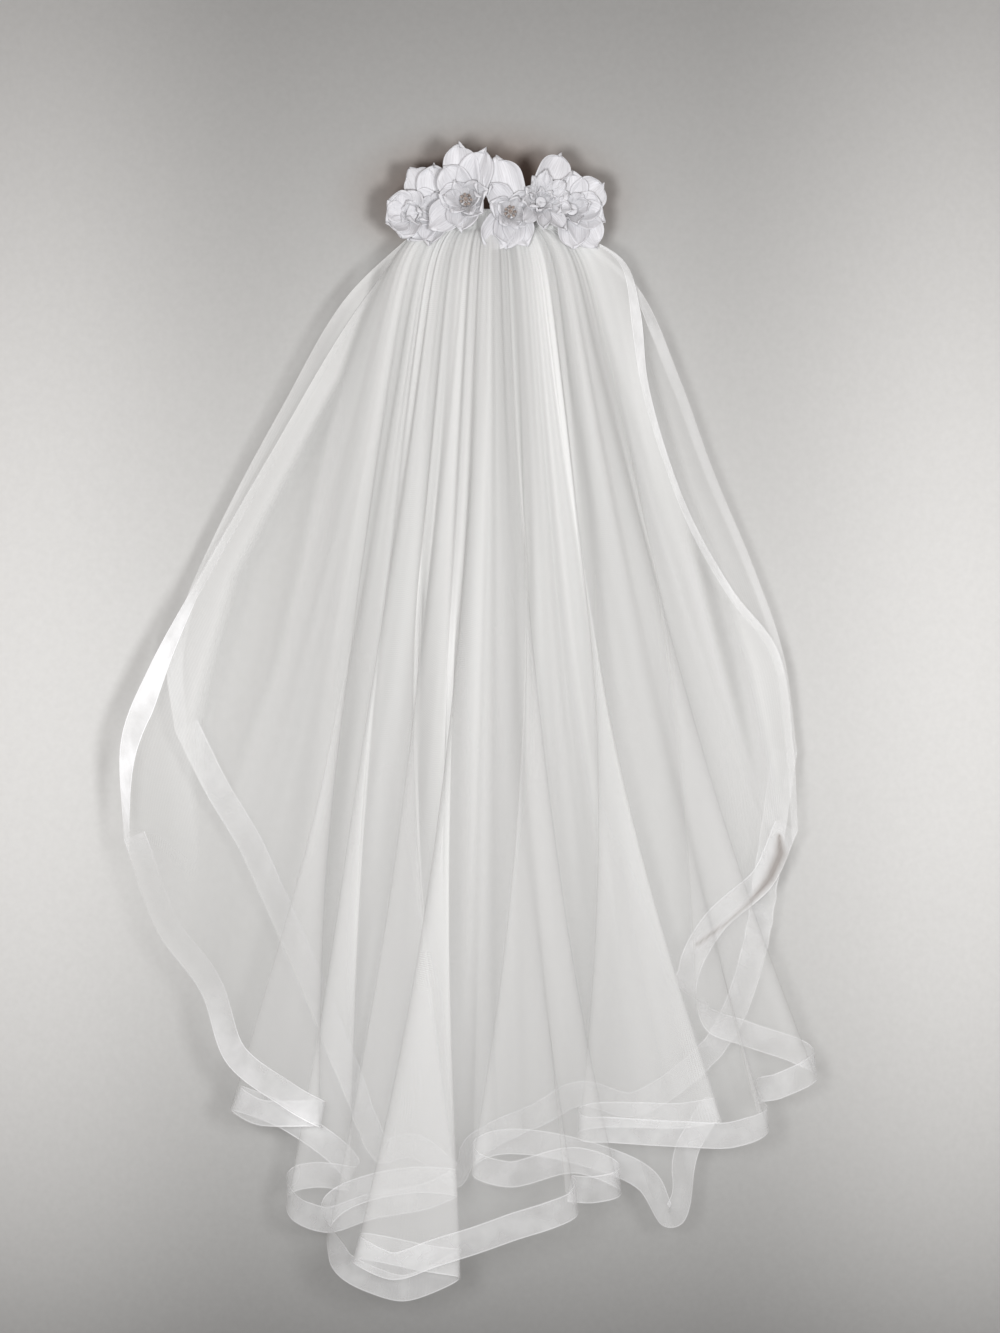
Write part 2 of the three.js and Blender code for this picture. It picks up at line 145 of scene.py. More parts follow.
# %% Where the edges of the cloth hang
LONG_LEFT = [
    # x, y, z
    [-95, -6, -74],
    [-140, -8, -151],
    [-184, -10, -228],
    [-218, -13, -290],
    [-235, -16, -335],
]
LONG_RIGHT = [
    # x, y, z
    [84, -5, -31],
    [94, -5, -62],
    [99, -4, -107],
    [111, -3, -152],
    [128, -2, -196],
    [154, 0, -241],
    [183, 3, -279],
    [193, 4, -340],
]
LONG_HEM = [
    # x, y, z
    [-233, -16, -399],
    [-212, -22, -455],
    [-182, -30, -494],
    [-165, -40, -535],
    [-128, -50, -561],
    [-108, -49, -573],
    [-109, -40, -575],
    [-147, -36, -575],
    [-166, -30, -567],
    [-164, -16, -570],
    [-135, -9, -583],
    [-110, -8, -600],
    [-91, -9, -619],
    [-90, -17, -621],
    [-113, -18, -619],
    [-127, -19, -623],
    [-126, -27, -635],
    [-104, -31, -643],
    [-73, -36, -633],
    [-39, -38, -626],
    [-21, -39, -618],
    [-22, -48, -616],
    [-50, -50, -614],
    [-94, -51, -628],
    [-98, -60, -655],
    [-57, -66, -674],
    [-20, -66, -662],
    [-19, -75, -658],
    [-45, -77, -653],
    [-80, -78, -646],
    [-82, -88, -645],
    [-59, -93, -653],
    [-31, -95, -644],
    [12, -94, -630],
    [49, -90, -617],
    [49, -80, -613],
    [43, -74, -612],
    [60, -66, -615],
    [76, -61, -613],
    [76, -52, -611],
    [50, -49, -602],
    [11, -48, -611],
    [-13, -47, -604],
    [-13, -38, -600],
    [2, -30, -595],
    [30, -21, -598],
    [60, -17, -606],
    [93, -14, -621],
    [108, -21, -642],
    [119, -21, -640],
    [131, -12, -595],
    [144, -9, -577],
    [145, -19, -577],
    [120, -24, -580],
    [67, -27, -579],
    [56, -29, -581],
    [56, -38, -584],
    [73, -39, -585],
    [115, -45, -586],
    [150, -46, -586],
    [170, -40, -578],
    [164, -30, -564],
    [180, -24, -561],
    [201, -22, -552],
    [203, -13, -549],
    [188, -8, -541],
    [160, -6, -532],
    [136, -4, -522],
    [129, 2, -500],
    [146, 5, -462],
    [180, 5, -430],
    [196, 5, -395],
]
SHORT_LEFT = [
    # x, y, z
    [-95, 0, -54],
    [-136, 4, -123],
    [-172, 8, -189],
    [-199, 11, -247],
    [-211, 12, -285],
]
SHORT_RIGHT = [
    # x, y, z
    [93, 1, -46],
    [120, 6, -103],
    [142, 10, -162],
    [169, 12, -226],
    [188, 13, -281],
]
SHORT_HEM = [
    # x, y, z
    [-206, 12, -331],
    [-186, 14, -372],
    [-165, 16, -408],
    [-149, 18, -444],
    [-125, 20, -499],
    [-100, 23, -562],
    [-75, 17, -612],
    [-53, 25, -611],
    [-23, 16, -628],
    [-8, 27, -611],
    [11, 16, -597],
    [36, 29, -589],
    [57, 16, -575],
    [91, 29, -585],
    [126, 18, -564],
    [158, 25, -532],
    [177, 18, -478],
    [186, 14, -420],
    [197, 13, -345],
]


# %% [markdown]
# A smooth curve through a few rows is easier to read and to change than a long list of points.
# The Catmull-Rom curve passes through every row, and its centripetal form makes no loops at tight turns.

# %% A smooth curve cut into equal lengths
SPAN_POINTS = 48


def smooth_curve(rows, count):
    """Each span is a cubic whose end slopes come from its neighbours, timed by the root of each chord."""
    rows = np.array(rows, float)
    ends = np.vstack([2 * rows[0] - rows[1], rows, 2 * rows[-1] - rows[-2]])
    a, b, c, d = (ends[i : len(ends) - 3 + i] for i in range(4))
    chords = [np.linalg.norm(q - p, axis=1)[:, None] for p, q in ((a, b), (b, c), (c, d))]
    before, here, after = np.sqrt(chords)
    leave = ((b - a) / before - (c - a) / (before + here) + (c - b) / here) * here
    arrive = ((c - b) / here - (d - b) / (here + after) + (d - c) / after) * here
    t = np.linspace(0, 1, SPAN_POINTS, endpoint=False)[None, :, None]
    b, c, leave, arrive = (p[:, None] for p in (b, c, leave, arrive))
    cubic = b + leave * t + (3 * (c - b) - 2 * leave - arrive) * t**2 + (2 * (b - c) + leave + arrive) * t**3
    dense = np.vstack([cubic.reshape(-1, 3), rows[-1:]])
    length = np.r_[0, np.cumsum(np.linalg.norm(np.diff(dense, axis=0), axis=1))]
    even = np.linspace(0, length[-1], count)
    return np.stack([np.interp(even, length, dense[:, k]) for k in range(3)], 1)


# %% [markdown]
# A gathered sheet is a family of threads. Each hangs from its place on the comb to its place on the hem.
# Near the comb the threads run side by side in a fan, and folds only open out lower down.
# So the hem is blurred along its length, more and more towards the comb, before the threads are drawn to it.

# %% The fall of a tier
COMB_HALF = 48
HEADING_TOP, HEADING_FOOT = 3, -9
LONG_SEAM_Y, SHORT_SEAM_Y = -3.35, -2.05
FLARE, FLARE_DROP, FAN = 0.38, 12, 4.2
FRONT_POWER, BACK_POWER, FOLD_POWER = 0.45, 1.5, 2.2
SIDE_REACH, EASE = 7, 1.8
SIDE_POINTS = 400


def soft_step(t):
    """0 below 0 and 1 above 1, with a smooth rise between them."""
    t = np.clip(t, 0, 1)
    return t * t * (3 - 2 * t)


def side_edge(start, rows, corner, levels):
    """The side edge's point at the height of each level, from the comb to the hem's corner."""
    curve = smooth_curve([start, *rows, corner], SIDE_POINTS)
    height = HEADING_FOOT + (corner[2] - HEADING_FOOT) * levels
    return np.stack([np.interp(-height, -curve[:, 2], curve[:, k]) for k in range(3)], 1)


def fall(hem_rows, left_rows, right_rows, seam_y, hold, columns, levels):
    """Threads from the heading to the hem: x fans out and turns late to the fold, y comes forward early.

    hold keeps that many mm of the top of a tier flat behind the heading.
    """
    hem = smooth_curve(hem_rows, columns)
    at = np.linspace(-COMB_HALF, COMB_HALF, columns)
    grid = []
    for v in levels:
        reach = EASE * (1 - v)
        weight = np.exp(-(((at[:, None] - at) / max(reach, 1e-6)) ** 2) / 2)
        end = weight @ hem / weight.sum(1)[:, None] if reach else hem
        drop = HEADING_FOOT - end[:, 2]
        flare = 1 + FLARE * (1 - np.exp(-v * drop / FLARE_DROP))
        late = 1 + (FOLD_POWER - 1) * np.clip((COMB_HALF - np.abs(at)) / SIDE_REACH, 0, 1)
        x = at * flare * (1 - v) + FAN * at * v + (end[:, 0] - FAN * at) * v**late
        if hold:
            held = hold / drop
            forward = soft_step((v - held) / (1 - held))
        else:
            forward = v ** np.where(end[:, 1] < seam_y, FRONT_POWER, BACK_POWER)
        y = seam_y + (end[:, 1] - seam_y) * forward
        z = HEADING_FOOT + (end[:, 2] - HEADING_FOOT) * v
        grid.append(np.stack([x, y, z], 1))
    grid = np.array(grid)
    for side, rows, corner in ((-1, left_rows, hem_rows[0]), (1, right_rows, hem_rows[-1])):
        edge = side_edge([side * COMB_HALF, seam_y, HEADING_FOOT], rows, corner, levels)
        pull = edge - grid[:, 0 if side < 0 else -1]
        near = np.clip(1 - np.abs(at - side * COMB_HALF) / SIDE_REACH, 0, 1) ** 2
        grid += pull[:, None] * near[None, :, None]
    heading = np.stack([at, np.full(columns, seam_y), np.full(columns, HEADING_TOP)], 1)
    return np.concatenate([heading[None], grid])


def normals_of(grid):
    """Down the thread crossed with along the row, which points to the front of the cloth."""
    down = np.gradient(grid, axis=0)
    along = np.gradient(grid, axis=1)
    normal = np.cross(down, along)
    return normal / np.maximum(np.linalg.norm(normal, axis=-1, keepdims=True), 1e-9)


# %% [markdown]
# Tulle is pushed together on the comb in dozens of small pleats.
# They join into fewer and wider ones lower down.
# Each family of pleats is a wave across the comb with its own best level, and its spacing is made uneven.

# %% Pleats that join on the way down
PLEATS = [
    # count, height in mm, level, spread
    [47, 0.15, 0.03, 0.10],
    [29, 0.6, 0.15, 0.14],
    [19, 1.4, 0.36, 0.20],
    [11, 3.6, 0.58, 0.26],
    [31, 0.8, 0.60, 0.30],
    [43, 0.8, 0.98, 0.20],
]
UNEVEN = [
    # how far the pleats shift, in radians, and how many pleats one round of the shift takes
    [0.9, 5.3],
    [1.6, 13.7],
]
SIZE_MEAN, SIZE_CHANGE, SIZE_ROUND = 0.65, 0.35, 7.9
SIDE_DAMP, SIDE_LEAST = 10, 0.02


def add_pleats(grid, levels, seed, forward_only):
    """Moves points along the normal by a sum of waves, each strongest near its own level.

    With forward_only 1 the pleats only rise, and with 0 they go both ways. They die out at the sides.
    """
    chance = np.random.default_rng(seed)
    share = np.linspace(0, 1, grid.shape[1])
    level = np.r_[0, levels]
    height = np.zeros(grid.shape[:2])
    for count, tall, best, spread in PLEATS:
        phase = chance.uniform(0, 2 * math.pi, 4)
        turns = 2 * math.pi * share * count
        uneven = sum(shift * np.sin(turns / every + at) for (shift, every), at in zip(UNEVEN, phase))
        some = SIZE_MEAN + SIZE_CHANGE * np.sin(turns / SIZE_ROUND + phase[2])
        wave = np.sin(turns + uneven + phase[3])
        grown = np.exp(-(((level - best) / spread) ** 2))
        height += tall * grown[:, None] * (some * (wave + forward_only))[None]
    height *= np.clip(np.minimum(share, 1 - share) * SIDE_DAMP, SIDE_LEAST, 1)[None]
    return grid + normals_of(grid) * height[..., None]


# %% [markdown]
# One layer of tulle is set to hide a fifth of what is behind it. Gathered, several layers share one place.
# How many is worked out from how closely the threads lie: a flat width, shared out evenly between them,
# over how far apart they are there.
# The flat sizes are fitted to the finished sheets, and aren't a maker's cut: the long hem alone is 1.9 m.
# Two tables thin the net between the body and each tail, and thicken the tails.

# %% How much of the wall the gathered net hides
LONG_FLAT = (1.05, 0.7)
SHORT_FLAT = (0.6, 0.65)
NET_COVER = 0.2
MOST_LAYERS = 14
COVER_WINDOW = 15
GAP_LEFT = [
    # z, where the body's edge hangs, where the tail's edge hangs
    [-20, -66, -67],
    [-105, -93, -95],
    [-188, -112, -140],
    [-231, -121, -162],
    [-288, -134, -178],
    [-326, -148, -186],
    [-366, -159, -184],
    [-440, -174, -176],
]
GAP_RIGHT = [
    # z, where the body's edge hangs, where the tail's edge hangs
    [-60, 86, 88],
    [-172, 115, 122],
    [-221, 127, 142],
    [-290, 144, 162],
    [-360, 162, 176],
    [-410, 170, 174],
]
GAP_CLEAR, GAP_SOFT = 0.86, 7
TAIL_FULL = (3.4, 2.4)
FADE_LOW, FADE_TOP = 140, 30


def spread_thin(grid):
    """1 on the body, falling to 1 - GAP_CLEAR between its edge and a tail's, and TAIL_FULL on a tail.

    Both changes fade out at the ends of the tables.
    """
    x, z = grid[..., 0], grid[..., 2]
    full = np.ones(x.shape)
    for rows, tail_full in zip((GAP_LEFT, GAP_RIGHT), TAIL_FULL):
        rows = np.array(rows, float)[::-1]
        body, tail = (np.interp(z, rows[:, 0], rows[:, k]) for k in (1, 2))
        outwards = np.sign(tail - body)
        inside = np.minimum((x - body) * outwards, (tail - x) * outwards)
        above_foot = np.clip((z - rows[0, 0]) / FADE_LOW, 0, 1)
        below_top = np.clip((rows[-1, 0] - z) / FADE_TOP, 0, 1)
        within = above_foot * below_top
        full *= 1 - GAP_CLEAR * soft_step(np.clip(inside / GAP_SOFT, 0, 1) * within)
        on_tail = np.clip((x - tail) * outwards / GAP_SOFT, 0, 1)
        full *= 1 + (tail_full - 1) * soft_step(on_tail * within)
    return full


def running_mean(values, weights):
    """The weighted mean of each value and its neighbours, where the end values go on past the ends."""
    padded = np.pad(values, len(weights) // 2, "edge")
    return np.convolve(padded, weights / weights.sum(), "valid")


def gathered_cover(grid, flat_width):
    """One less the clear share of a layer, to the power of the layers that lie together there."""
    apart = np.linalg.norm(np.gradient(grid, axis=1), axis=-1)
    apart = np.apply_along_axis(running_mean, 1, apart, np.hanning(COVER_WINDOW))
    layers = flat_width / MM / (grid.shape[1] - 1) / apart
    return 1 - (1 - NET_COVER) ** np.clip(layers, 1, MOST_LAYERS)


# %% [markdown]
# Each tier is one sheet of threads and levels. The levels are closer together near the comb.

# %% Make the two tiers
LEVELS = np.linspace(0, 1, 76) ** 1.25
LONG_COLUMNS, SHORT_COLUMNS = 1100, 560
SHORT_HOLD = 46
LONG_SEED, SHORT_SEED = 3, 8


def make_tier(name, grid, flat_width):
    """A tier's sheet, with a UV map in metres and the cover as an attribute.

    u shares the flat width out evenly between the threads, and v is the mean length down them.
    """
    rows, columns = grid.shape[:2]
    u = np.linspace(0, flat_width, columns)
    length = np.linalg.norm(np.diff(grid, axis=0), axis=-1).mean(1) * MM
    v = -np.r_[0, np.cumsum(length)]
    uv = np.stack(np.broadcast_arrays(u[None], v[:, None]), -1).reshape(-1, 2)
    cover = np.clip(gathered_cover(grid, flat_width) * spread_thin(grid), 0, 1)
    marks = {"cover": cover.astype(np.float32).ravel()}
    return link_mesh(name, grid.reshape(-1, 3), grid_quads(rows, columns), uv, marks)


def sheet_area(grid):
    """The area in square metres, summed over the grid's cells."""
    across = np.diff(grid, axis=1)[:-1]
    down = np.diff(grid, axis=0)[:, :-1]
    return np.linalg.norm(np.cross(across, down), axis=-1).sum() * MM * MM


long_smooth = fall(LONG_HEM, LONG_LEFT, LONG_RIGHT, LONG_SEAM_Y, 0, LONG_COLUMNS, LEVELS)
short_smooth = fall(SHORT_HEM, SHORT_LEFT, SHORT_RIGHT, SHORT_SEAM_Y, SHORT_HOLD, SHORT_COLUMNS, LEVELS)
long_grid = add_pleats(long_smooth, LEVELS, LONG_SEED, 1)
short_grid = add_pleats(short_smooth, LEVELS, SHORT_SEED, 0)
long_tulle = make_tier("long_tulle", long_grid, LONG_FLAT[0])
short_tulle = make_tier("short_tulle", short_grid, SHORT_FLAT[0])
print("sheet areas, square metres:", round(sheet_area(long_grid), 3), round(sheet_area(short_grid), 3))

# %% [markdown]
# The edging is a sheer 16 mm ribbon that is sewn along the sides and the hem.
# It is the same surface as the tulle under it, so its rows are measured off the tier and moved out a little.
# Along the sides it is narrower, as if rolled under. One table of places says where it doubles over or turns
# thin, and another where a dark line of painted shadow runs along it.

# %% Tables for the ribbon
RIBBON_WIDTH = 16
RIBBON_ACROSS = 8
RIBBON_CLEAR = 0.9
SIDE_FIRST_ROW, SIDE_COLUMNS = 4, 90
HEM_INNER_ROW, HEM_WINDOW = -5, 11
ROLLED = [
    # depth below the heading, share of the width that isn't rolled under: on the left, on the right
    [0, 0.08, 0.08],
    [60, 0.3, 0.45],
    [235, 0.35, 0.3],
    [300, 0.95, 0.4],
    [380, 0.6, 0.55],
    [700, 1.0, 1.0],
]
RIBBON_CATCH = [
    # x, z, reach, change in how solid the ribbon looks
    [-238, -358, 34, 2.8],
    [-207, -285, 34, 3.2],
    [-140, -130, 100, -0.9],
    [-222, -440, 55, -0.95],
    [-160, -530, 30, 0.9],
    [-145, -455, 40, -0.5],
    [-120, -510, 45, -0.7],
    [-116, -573, 16, 1.6],
    [188, -330, 55, -0.6],
    [100, -60, 50, 0.8],
]
LEAST_CATCH = 0.05
# Where a dark line of painted shadow runs along the ribbon.
SLIT_SHADOW_LINE = [
    # x, z, half width
    [184, -398, 2.0],
    [185, -410, 5.5],
    [178, -426, 4.5],
    [168, -438, 2.4],
    [152, -453, 2.0],
    [131, -468, 2.6],
]
SLIT_SHADOW_POINTS = 24


# %% The ribbon round each free edge
def ribbon_catch(points):
    """1 plus a bump or a dip at each row of RIBBON_CATCH, and never under LEAST_CATCH."""
    catch = np.ones(len(points))
    for x, z, reach, change in RIBBON_CATCH:
        catch += change * np.exp(-((points[:, 0] - x) ** 2 + (points[:, 2] - z) ** 2) / reach**2)
    return np.clip(catch, LEAST_CATCH, None).astype(np.float32)


def slit_shadow_mark(points):
    """1 on the line of painted shadow through the rows of SLIT_SHADOW_LINE, falling to 0 away from it."""
    line = np.array(SLIT_SHADOW_LINE, float)
    dense = np.concatenate([np.linspace(a, b, SLIT_SHADOW_POINTS) for a, b in zip(line, line[1:])])
    apart = np.linalg.norm(points[:, None, ::2] - dense[None, :, :2], axis=-1) / dense[:, 2]
    return np.exp(-(apart.min(1) ** 2)).astype(np.float32)


def strip_from(lines, widths):
    """Points at equal shares of a width along each line, where a line starts on the edge and runs inwards."""
    steps = np.linalg.norm(np.diff(lines, axis=1), axis=-1)
    length = np.concatenate([np.zeros((len(lines), 1)), np.cumsum(steps, axis=1)], 1)
    share = np.linspace(0, 1, RIBBON_ACROSS + 1)
    return np.array([
        np.stack([np.interp(share * width, far, line[:, k]) for k in range(3)], 1)
        for line, far, width in zip(lines, length, widths)
    ])


def unit(vectors):
    """The same directions, each of length 1."""
    return vectors / np.linalg.norm(vectors, axis=1, keepdims=True)


def ribbon_strips(grid, side):
    """The left side from the comb down, the hem, and the right side from the hem up.

    The hem's strip leaves the hem at a right angle, in the direction of a row further in.
    """
    lifted = grid + normals_of(grid) * RIBBON_CLEAR * side
    depth, *shares = np.array(ROLLED).T
    below = [HEADING_FOOT - grid[:, k, 2] for k in (0, -1)]
    wide = [RIBBON_WIDTH * np.interp(drop, depth, share) for drop, share in zip(below, shares)]
    rows = slice(SIDE_FIRST_ROW, None)
    left = strip_from(lifted[rows, :SIDE_COLUMNS], wide[0][rows])
    right = strip_from(lifted[rows, ::-1][:, :SIDE_COLUMNS], wide[1][rows])
    hem = lifted[-1]
    along = unit(np.gradient(hem, axis=0))
    up = lifted[HEM_INNER_ROW] - hem
    square = unit(up - along * (up * along).sum(1)[:, None])
    square = unit(np.apply_along_axis(running_mean, 0, square, np.ones(HEM_WINDOW)))
    share = np.linspace(1, 0, RIBBON_ACROSS + 1)[None, :, None]
    return [left[:, ::-1], hem[:, None] + square[:, None] * share * RIBBON_WIDTH, right[::-1, ::-1]]


def make_ribbon(name, strips):
    """Joins the strips in one mesh. u runs along the ribbon in metres, v from 0 to 1 across it."""
    uv = []
    run = 0.0
    for strip in strips:
        steps = np.linalg.norm(np.diff(strip[:, -1], axis=0), axis=1) * MM
        u = run + np.r_[0, np.cumsum(steps)]
        run = u[-1]
        share = np.linspace(0, 1, strip.shape[1])
        uv.append(np.stack(np.broadcast_arrays(u[:, None], share[None]), -1).reshape(-1, 2))
    print(name, "length, m:", round(run, 2))
    points, quads = join_grids(strips)
    # The second mark carries the line of painted shadow.
    marks = {"catch": ribbon_catch(points), "slit": slit_shadow_mark(points)}
    return link_mesh(name, points, quads[:, ::-1], np.vstack(uv), marks)


long_ribbon = make_ribbon("long_ribbon", ribbon_strips(long_grid, 1))
short_ribbon = make_ribbon("short_ribbon", ribbon_strips(short_grid, -1))

# %% [markdown]
# The flowers are organza: stiff, sheer petals whose rims are rolled with heat, so that they catch the light.
# A petal is a surface of two parameters. One runs from its root to its tip, the other from rim to rim.

# %% Petal and flower tables
FLOWER_BACK_Y = -4.15
FLOWERS = {
    # x, forward, z, lean down, turn sideways
    "flower_centre_left": (-17, 9, 6, 4, -8),
    "flower_centre_right": (11, 6, -1, 10, 6),
    "flower_narrow_petals": (30, 8, 5, 0, 12),
    "flower_left": (-34, 3, 1, 0, -16),
    "flower_right": (50, 5, 1, 0, 8),
    "bud_left": (-51, 5, -2, 0, -12),
}
PETALS = {
    # angle, length, width, lift
    "flower_centre_left": [
        [95, 36, 24, 22], [64, 35, 23, 26], [122, 26, 22, 34], [170, 20, 18, 48],
        [222, 31, 22, 30], [268, 24, 22, 38], [320, 20, 18, 48], [15, 20, 17, 46],
    ],
    "flower_centre_right": [
        [106, 36, 27, 16], [128, 24, 17, 30], [160, 18, 16, 46], [232, 30, 22, 26],
        [262, 25, 21, 32], [294, 25, 20, 32], [40, 20, 16, 38], [345, 18, 16, 46],
    ],
    "flower_narrow_petals": [
        [68, 33, 22, 16], [88, 22, 11, 46], [40, 21, 11, 42], [14, 20, 11, 42], [340, 22, 11, 38],
        [305, 27, 12, 34], [268, 24, 11, 42], [230, 24, 11, 40], [190, 18, 10, 48], [150, 17, 10, 50],
        [118, 19, 11, 46],
    ],
    "flower_left": [
        [124, 33, 23, 14], [92, 29, 24, 24], [150, 20, 18, 34], [228, 28, 22, 24], [262, 26, 20, 30],
        [195, 22, 18, 36],
    ],
    "flower_right": [
        [40, 26, 24, 20], [92, 24, 20, 26], [5, 20, 20, 32], [300, 30, 23, 20], [268, 28, 21, 24],
        [335, 23, 20, 28],
    ],
    "bud_left": [[100, 16, 21, 34], [150, 18, 22, 30], [200, 18, 22, 30], [250, 18, 21, 32]],
}
INNER = {
    # how many small petals stand round the middle, their length, width and lift
    "flower_centre_left": (6, 17, 11, 60),
    "flower_centre_right": (5, 15, 10, 60),
    "flower_narrow_petals": (7, 13, 6, 66),
    "flower_left": (5, 15, 11, 58),
    "flower_right": (5, 15, 11, 54),
    "bud_left": (3, 11, 10, 62),
}


# %% Petal surfaces
PETAL_ALONG, PETAL_ACROSS = 15, 13
PETAL_SHARES = 1 - (1 - np.linspace(0, 1, PETAL_ALONG)) ** 1.8
PETAL_ROOT = 3.6
PETAL_CUP, PETAL_CURL, RIM_ROLL = 0.34, 0.10, 0.5
CREASE_DEPTH, CREASE_HALF = 0.9, 0.16


def petal_grid(angle, length, width, lift, chance):
    """Half width is a blunt leaf shape. The height is a cup across, a curl back at the tip, a rolled rim,
    ripples and a crease down the middle.
    """
    s = PETAL_SHARES[:, None]
    t = np.linspace(-1, 1, PETAL_ACROSS)[None, :]
    rise = math.radians(lift)
    leaf = (1 - np.abs(2 * s**0.95 - 1) ** 2.8) ** 0.5
    half = width / 2 * np.maximum(leaf, 0.32 * (1 - s) + 0.02)
    tip = 1 - 0.10 * t**2 * s**3 + 0.035 * np.sin(t * chance.uniform(5, 8) + chance.uniform(0, 6)) * s**2
    out = (length - PETAL_ROOT) * s * tip
    rim = np.maximum(np.abs(t) ** 5, s**7) * np.clip(s * 3, 0, 1)
    ripple = np.sin(t * chance.uniform(3, 6) + chance.uniform(0, 6)) * 1.2 * s**2
    ripple += np.sin(s * 8 + t * 2 + chance.uniform(0, 6)) * 1.0 * np.abs(t) ** 1.5 * s
    cup = PETAL_CUP * half * t**2 - PETAL_CURL * length * s**2.2 + RIM_ROLL * rim + ripple
    cup -= CREASE_DEPTH * np.exp(-((t / CREASE_HALF) ** 2)) * s * (1 - s)
    x = PETAL_ROOT + out * math.cos(rise) - cup * math.sin(rise)
    y = half * t * (1 - 0.05 * rim)
    z = out * math.sin(rise) + cup * math.cos(rise)
    turn = math.radians(angle)
    return np.stack([x * math.cos(turn) - y * math.sin(turn), x * math.sin(turn) + y * math.cos(turn), z], -1)


def flower_petals(name, chance):
    """The petals from the table, then the small ones round the middle, each a little out of step."""
    petals = [petal_grid(*row, chance) for row in PETALS[name]]
    count, length, width, lift = INNER[name]
    for k in range(count):
        angle = 360 * k / count + chance.uniform(-14, 14)
        petals.append(petal_grid(angle, length * chance.uniform(0.85, 1.1), width, lift, chance))
    return petals


# %% [markdown]
# A flower's petals lie in three heights over a small base, whose skirt reaches back to the comb.
# The whole flower is then turned, leaned and put in its place.

# %% Flowers from petals
BASE_RADIUS = 6.4
BASE_SHARES = [0.02, 0.35, 0.7, 1.0, 0.96]
BASE_HEIGHTS = [1.6, 1.5, 1.1, 0.2]
LAYER_FIRST, LAYER_STEP, LAYERS = 1, 0.25, 3
UV_STEP, BASE_UV = 3, (0.5, 0.3)
RIM_START, RIM_FADE = 0.82, 0.13
PETAL_THICK = 0.3
FIRST_SEED = 20


def flower_base(forward):
    """A shallow dome, with a skirt from its rim to the flower's back."""
    radius = np.array(BASE_SHARES)[:, None] * BASE_RADIUS
    height = np.array([*BASE_HEIGHTS, -forward])[:, None]
    around = np.linspace(0, 2 * math.pi, 25)[None, :]
    return np.stack(np.broadcast_arrays(radius * np.cos(around), radius * np.sin(around), height), -1)


def tilted(points, lean, turn):
    """Turns points sideways round their own y, then leans them round their own x, in degrees."""
    a, b = math.radians(lean), math.radians(turn)
    turn_y = np.array([[math.cos(b), 0, math.sin(b)], [0, 1, 0], [-math.sin(b), 0, math.cos(b)]])
    lean_x = np.array([[1, 0, 0], [0, math.cos(a), -math.sin(a)], [0, math.sin(a), math.cos(a)]])
    return points @ (lean_x @ turn_y).T


def flower_surface(name, seed):
    """A flower's points, quads, UV map and marks. The mark rim is 1 on the petals' rims and tips."""
    x, forward, z, lean, turn = FLOWERS[name]
    petals = flower_petals(name, np.random.default_rng(seed))
    grids = [petal + [0, 0, LAYER_FIRST + LAYER_STEP * (k % LAYERS)] for k, petal in enumerate(petals)]
    base = flower_base(forward)
    points, quads = join_grids([*grids, base])
    shares = np.stack(np.meshgrid(np.linspace(-1, 1, PETAL_ACROSS), PETAL_SHARES), -1).reshape(-1, 2)
    uv = [shares + [UV_STEP * k, 0] for k in range(len(petals))]
    uv = np.vstack([*uv, np.full((base.shape[0] * base.shape[1], 2), BASE_UV)])
    across = np.abs((uv[:, 0] + 1) % UV_STEP - 1)
    rim = np.clip((np.maximum(across, uv[:, 1]) - RIM_START) / RIM_FADE, 0, 1)
    points = tilted(points, lean, turn)
    placed = np.stack([points[:, 0] + x, FLOWER_BACK_Y - forward - points[:, 2], points[:, 1] + z], 1)
    return placed, quads, uv, {"rim": rim.astype(np.float32)}


flowers = {}
for seed, name in enumerate(FLOWERS, FIRST_SEED):
    piece_name = name.replace("flower", "organza").replace("bud", "organza_bud")
    flowers[name] = link_mesh(piece_name, *flower_surface(name, seed))
    add_solidify(flowers[name], PETAL_THICK * MM)
print("flowers:", len(flowers))

# %% [markdown]
# Each cluster is one larger rhinestone with a ring of small ones, pressed close together.
# A brilliant's outline is a few straight-sided rings: a girdle, a slanted crown and a flat table on top.

# %% Rhinestones
STONE_RINGS = [
    # share of the radius, share of the height
    [0.0, -0.2],
    [0.96, -0.2],
    [1.0, 0.25],
    [0.86, 0.55],
    [0.52, 1.0],
    [0.0, 1.0],
]
BIG_STONE, SMALL_STONE = (2.1, 1.5), (1.25, 1.1)
BIG_FORWARD, SMALL_FORWARD = 1.6, 0.8
SMALL_STONES, RING_RADIUS = 7, 3.2
CLUSTER_FORWARD = 2.3


def stone(centre, radius, height, turn):
    """A ring of eight sides carried through the rows of STONE_RINGS, turned half a side between rows."""
    rings = np.array(STONE_RINGS)
    half_sides = (np.arange(len(rings)) % 2)[:, None] * math.pi / 8
    around = np.linspace(0, 2 * math.pi, 9)[None, :] + turn + half_sides
    out = rings[:, :1] * radius
    flat = np.stack([out * np.cos(around), -rings[:, 1:] * height + 0 * around, out * np.sin(around)], -1)
    return flat + centre


def make_cluster(name, flower):
    """A large stone in the middle and a ring of small ones round it, with flat faces."""
    x, forward, z, _, _ = FLOWERS[flower]
    front = FLOWER_BACK_Y - forward - CLUSTER_FORWARD
    chance = np.random.default_rng(len(name))
    stones = [stone(np.array([x, front - BIG_FORWARD, z]), *BIG_STONE, 0.2)]
    for k in range(SMALL_STONES):
        angle = 2 * math.pi * k / SMALL_STONES + chance.uniform(-0.1, 0.1)
        aside, up = RING_RADIUS * math.cos(angle), RING_RADIUS * math.sin(angle)
        stones.append(stone(np.array([x + aside, front - SMALL_FORWARD, z + up]), *SMALL_STONE, angle))
    points, quads = join_grids(stones)
    cluster = link_mesh(name, points, quads[:, ::-1])
    cluster.data.polygons.foreach_set("use_smooth", np.zeros(len(cluster.data.polygons), bool))
    return cluster


clusters = {
    "rhinestone_centre_left": make_cluster("stones_left", "flower_centre_left"),
    "rhinestone_centre_right": make_cluster("stones_right", "flower_centre_right"),
}
print("stone clusters:", len(clusters))


